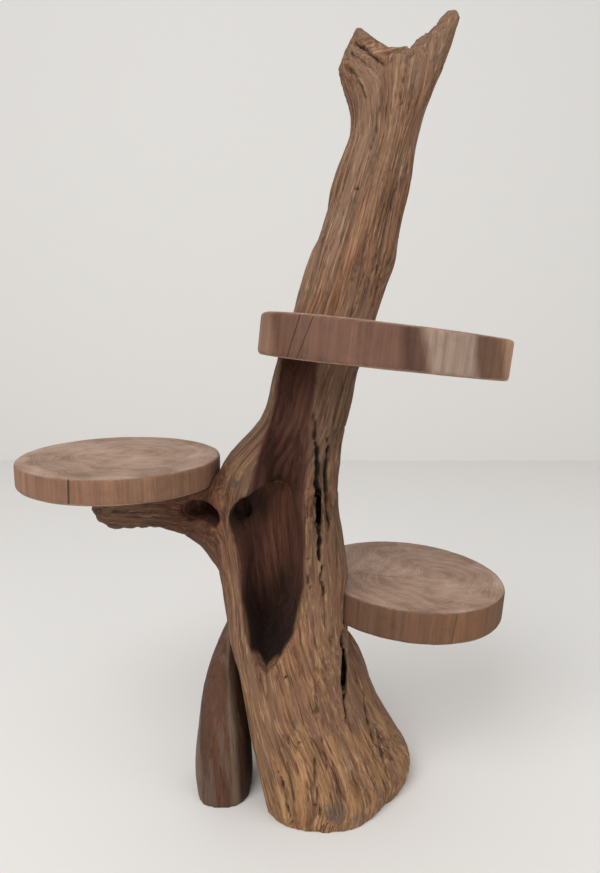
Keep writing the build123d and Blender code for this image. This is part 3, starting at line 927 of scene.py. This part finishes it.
def sliceWood(name, own):
    # end grain with growth rings on the flat faces, upright fibres on the sides
    look = sliceLook
    material, tree, shader = newMaterial(name)
    local = attributeNode(tree, "grain")["Vector"]
    side = attributeNode(tree, "inner")["Fac"]
    pithX, pithY = own["pith"]
    pith = (-pithX * millimetre, -pithY * millimetre, own["seed"])
    shifted = mappedVector(tree, local, (1, 1, 1), pith)
    flat = mappedVector(tree, shifted, (1, 1, 0))
    along = separated(tree, local)

    warp = mathNode(tree, "SUBTRACT", noiseNode(tree, flat, *look["warp"]), noiseMiddle)
    radius = mathNode(tree, "MULTIPLY_ADD", warp, look["warpReach"], distanceNode(tree, flat))
    rings = mathNode(tree, "SINE", mathNode(tree, "MULTIPLY", radius, look["rings"]))
    wideRings = mathNode(tree, "SINE", mathNode(tree, "MULTIPLY", radius, look["wideRings"]))
    blotch = stretched(tree, noiseNode(tree, flat, *look["blotch"]), *look["blotchLimits"])
    ringTone = mathNode(tree, "MULTIPLY_ADD", wideRings, look["wideShare"], blotch)
    faint = mathNode(tree, "MULTIPLY", noiseNode(tree, flat, *look["faint"]), look["ringShare"])
    ringTone = mathNode(tree, "MULTIPLY_ADD", rings, faint, ringTone)
    top = rampNode(tree, ringTone, look["top"])
    rimShare = mathNode(tree, "DIVIDE", radius, own["reach"] * millimetre)
    top = toned(tree, top, rampNode(tree, rimShare, look["rim"]))
    speck = stretched(tree, noiseNode(tree, flat, *look["speck"]), *look["speckLimits"])
    top = toned(tree, top, rampNode(tree, speck, look["speckTone"]), look["speckShare"])

    fibre = placeFibres(tree, shifted, look["fineness"])
    left, right = own["across"]
    stray = grainNoise(tree, shifted, *look["bandNoise"])
    stray = mathNode(tree, "SUBTRACT", stray, noiseMiddle)
    across = mathNode(tree, "MULTIPLY_ADD", stray, look["bandReach"], along["X"])
    across = mathNode(tree, "MULTIPLY_ADD", along["Z"], look["bandLean"], across)
    across = mathNode(tree, "SUBTRACT", across, left * millimetre)
    across = mathNode(tree, "DIVIDE", across, (right - left) * millimetre)
    edge = rampNode(tree, across, own["bands"])
    edge = toned(tree, edge, rampNode(tree, fibre["Streak"], look["streakTone"]))
    thread = rampNode(tree, fibre["Fibre"], look["thread"])
    edge = toned(tree, edge, thread, look["threadShare"])
    stain = rampNode(tree, grainMask(tree, shifted, look["stainNoise"]), look["stain"])
    edge = toned(tree, edge, stain)

    front = stretched(tree, along["Y"], *look["splitFront"])
    front = mathNode(tree, "MULTIPLY", front, look["splitShare"])
    stray = mathNode(tree, "SUBTRACT", fibre["Streak"], noiseMiddle)
    outer, full = look["splitFlanks"]
    for across, lean, halfWidth in own["splits"]:
        gap = mathNode(tree, "MULTIPLY_ADD", along["Z"], -lean, along["X"])
        gap = mathNode(tree, "MULTIPLY_ADD", stray, look["splitStray"], gap)
        gap = mathNode(tree, "ABSOLUTE", mathNode(tree, "SUBTRACT", gap, across * millimetre))
        gap = stretched(tree, gap, halfWidth * outer * millimetre, halfWidth * full * millimetre)
        edge = laid(tree, edge, gap, front, look["split"])
    for across, deep, turn, halfLength, halfWidth in own["checks"]:
        gap = mappedVector(tree, local, (1, 1, 0), (-across * millimetre, -deep * millimetre, 0))
        size = (1 / (halfLength * millimetre), 1 / (halfWidth * millimetre), 0)
        gap = mappedVector(tree, gap, size, rotation=(0, 0, math.radians(turn)))
        check = stretched(tree, distanceNode(tree, gap), *look["checkFlanks"])
        top = laid(tree, top, check, look["checkShare"], look["check"])

    tree.links.new(mixColour(tree, side, top, edge), shader.inputs["Base Color"])
    shader.inputs["Roughness"].default_value = look["roughness"]
    shader.inputs["Specular IOR Level"].default_value = woodSpecular
    height = mathNode(tree, "MULTIPLY_ADD", rings, look["ringHeight"], fibre["Height"])
    tree.links.new(bumpNode(tree, height, *look["bump"]), shader.inputs["Normal"])
    return material


# zinc on the screws, which keep their CAD bodies

zincLook = {
    "mottle": (900, 3, 0.6), "colour": ((0.3, "8a8b8c"), (0.7, "b4b5b6")),
    "roughness": (0.3, 0.25),
}


def zincSteel():
    material, tree, shader = newMaterial("zincScrew")
    place = tree.nodes.new("ShaderNodeTexCoord").outputs["Object"]
    mottle = noiseNode(tree, place, *zincLook["mottle"])
    roughness = mathNode(tree, "MULTIPLY_ADD", mottle, *zincLook["roughness"])
    tree.links.new(rampNode(tree, mottle, zincLook["colour"]), shader.inputs["Base Color"])
    tree.links.new(roughness, shader.inputs["Roughness"])
    shader.inputs["Metallic"].default_value = 1.0
    return material


root.data.materials.append(rootWood())
leg.data.materials.append(legWood())
for nodeName, piece in slicePieces.items():
    woodName = nodeName.split("_")[0] + "SliceWood"
    piece.data.materials.append(sliceWood(woodName, sliceLooks[nodeName]))
steel = zincSteel()
for nodeName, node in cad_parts.items():
    if nodeName.endswith("_screws"):
        node.data.materials.clear()
        node.data.materials.append(steel)
print("materials made")


# floor, light and camera

stageLook = {
    "colour": "e9e7e4", "roughness": 0.95, "specular": 0.1,
    "size": 6.0, "backdropDistance": 1.6, "skyStrength": 0.62,
    "lampTarget": (-0.03, 0, 0.3),
}


def paleSheet(name, location, rotation=(0, 0, 0)):
    bpy.ops.mesh.primitive_plane_add(
        size=stageLook["size"], location=location, rotation=rotation)
    sheet = bpy.context.object
    sheet.name = name
    material, _, shader = newMaterial(name + "Paint")
    shader.inputs["Base Color"].default_value = linear(stageLook["colour"])
    shader.inputs["Roughness"].default_value = stageLook["roughness"]
    shader.inputs["Specular IOR Level"].default_value = stageLook["specular"]
    sheet.data.materials.append(material)
    return sheet


floor = paleSheet("paleFloor", (0, 0, 0))
backdrop = paleSheet("paleBackdrop", (0, stageLook["backdropDistance"], 0), (math.pi / 2, 0, 0))

world = bpy.data.worlds.new("softSky")
bpy.context.scene.world = world
world.use_nodes = True
sky = world.node_tree.nodes["Background"]
sky.inputs["Color"].default_value = (1, 1, 1, 1)
sky.inputs["Strength"].default_value = stageLook["skyStrength"]

lamps = {
    "keyLamp": {"place": (-0.9, -1.3, 1.7), "size": 1.4, "power": 26},
    "fillLamp": {"place": (1.4, -1.0, 1.0), "size": 1.6, "power": 7},
}
for name, lamp in lamps.items():
    data = bpy.data.lights.new(name, "AREA")
    data.size = lamp["size"]
    data.energy = lamp["power"]
    light = bpy.data.objects.new(name, data)
    light.location = lamp["place"]
    aim = Vector(stageLook["lampTarget"]) - Vector(lamp["place"])
    light.rotation_euler = aim.to_track_quat("-Z", "Y").to_euler()
    bpy.context.scene.collection.objects.link(light)

# where the photograph was taken from; the focal length is in pixels of its height
view = {
    "place": (-0.030, -0.530, 0.376), "pitch": 7.9, "focal": 656.0, "pictureHeight": 873,
    "sensor": 36.0, "nearest": 0.02,
}
cameraData = bpy.data.cameras.new("photoCamera")
cameraData.sensor_width = view["sensor"]
cameraData.lens = view["focal"] / view["pictureHeight"] * view["sensor"]
cameraData.clip_start = view["nearest"]
camera = bpy.data.objects.new("photoCamera", cameraData)
camera.location = view["place"]
camera.rotation_euler = (math.radians(90 - view["pitch"]), 0, 0)
bpy.context.scene.collection.objects.link(camera)
bpy.context.scene.camera = camera
print("floor, lamps and camera placed")

print("cad box", [[round(v, 4) for v in corner] for corner in cadBox])
